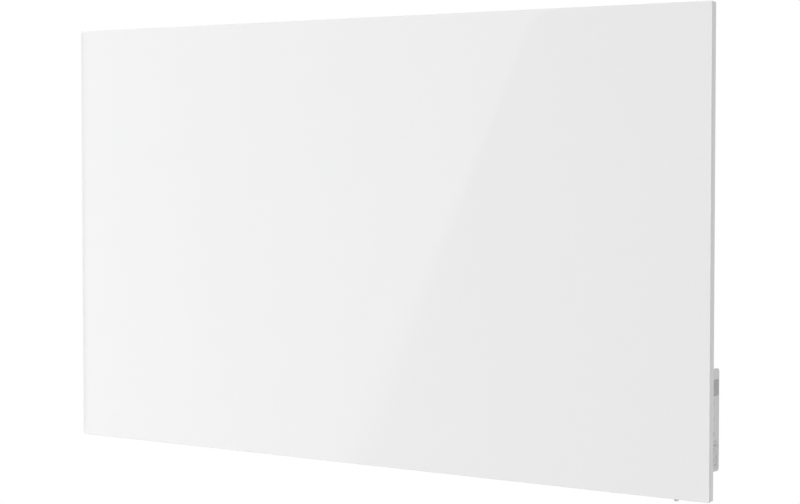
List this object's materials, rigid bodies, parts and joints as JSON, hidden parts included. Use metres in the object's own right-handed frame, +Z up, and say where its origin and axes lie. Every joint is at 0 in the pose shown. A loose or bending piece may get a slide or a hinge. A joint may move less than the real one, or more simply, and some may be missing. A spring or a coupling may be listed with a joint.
{
  "type": "wall-hung convector heater",
  "caption": "Flat white glass-front convector heater with a slotted steel air duct, a side control box with display, buttons and rocker switch, and a hook-on wall bracket.",
  "frame": {"origin": "centre of the four wall screws, on the wall plane", "axes": "+X to the right for a viewer in the room, +Y from the room into the wall, +Z up"},
  "size_m": [0.8, 0.084, 0.4547],
  "materials": {
    "white_glass": "back-painted white, polished face and bevel",
    "adhesive": "matt film",
    "white_steel": "fine-texture white powder coat",
    "zinc_steel": "bright zinc plate",
    "galvanised_steel": "hot-dip galvanised, light spangle",
    "bright_aluminium": "mill finish",
    "tube_steel": "annealed stainless",
    "ceramic": "unglazed",
    "black_plastic": "fine texture",
    "wire_sleeve": "silicone",
    "black_rubber": "matt",
    "white_plastic": "satin, fine texture",
    "grey_plastic": "satin",
    "display_clear": "clear, lightly smoked",
    "display_cell": "reflective grey cell",
    "green_board": "solder mask",
    "blue_plastic": "moulded",
    "sensor_epoxy": "epoxy bead"
  },
  "bodies": {
    "wall_bracket": {"bracket_upright_left": "galvanised_steel", "bracket_upright_right": "galvanised_steel", "bracket_rail_upper": "galvanised_steel", "bracket_rail_lower": "galvanised_steel", "bracket_rivets": "zinc_steel"},
    "heater": {"front_glass": "white_glass", "bond_film": "adhesive", "front_tray": "white_steel", "duct_cheek_left": "white_steel", "duct_cheek_right": "white_steel", "outlet_grille": "white_steel", "inlet_grille": "white_steel", "back_sheet": "white_steel", "tray_studs": "zinc_steel", "flange_nuts": "zinc_steel", "sheet_screws": "zinc_steel", "hook_rivets": "zinc_steel", "board_screws": "zinc_steel", "element_support_left": "zinc_steel", "element_support_right": "zinc_steel", "terminal_pins": "zinc_steel", "switch_blades": "zinc_steel", "hanger_hooks": "galvanised_steel", "heat_shield": "bright_aluminium", "element_fins": "bright_aluminium", "element_tube": "tube_steel", "terminal_insulators": "ceramic", "thermal_cutout": "black_plastic", "cord_gland": "black_plastic", "gland_locknut": "black_plastic", "tact_switches": "black_plastic", "element_leads": "wire_sleeve", "wire_bush": "black_rubber", "rear_bumpers": "black_rubber", "control_housing": "white_plastic", "control_fascia": "white_plastic", "sensor_sleeve": "white_plastic", "mains_switch_frame": "grey_plastic", "display_window": "display_clear", "display_module": "display_cell", "control_board": "green_board", "power_board": "green_board", "power_relay": "blue_plastic", "terminal_block": "blue_plastic", "sensor_bead": "sensor_epoxy"},
    "rocker": {"mains_rocker": "grey_plastic"},
    "button_plus_key": {"button_plus": "grey_plastic"},
    "button_minus_key": {"button_minus": "grey_plastic"},
    "button_mode_key": {"button_mode": "grey_plastic"}
  },
  "joints": [
    {"name": "heater_lift", "type": "slide", "parent": "wall_bracket", "child": "heater", "axis": [0, 0, 1], "range_m": [0, 0.02]},
    {"name": "mains_rocker_tilt", "type": "hinge", "parent": "heater", "child": "rocker", "pos_m": [0.3911, -0.0654, -0.1845], "axis": [0, -1, 0], "range_deg": [0, 18]},
    {"name": "button_plus_press", "type": "slide", "parent": "heater", "child": "button_plus_key", "axis": [-1, 0, 0], "range_m": [0, 0.0008], "stiffness_N_per_m": 1500},
    {"name": "button_minus_press", "type": "slide", "parent": "heater", "child": "button_minus_key", "axis": [-1, 0, 0], "range_m": [0, 0.0008], "stiffness_N_per_m": 1500},
    {"name": "button_mode_press", "type": "slide", "parent": "heater", "child": "button_mode_key", "axis": [-1, 0, 0], "range_m": [0, 0.0008], "stiffness_N_per_m": 1500}
  ]
}
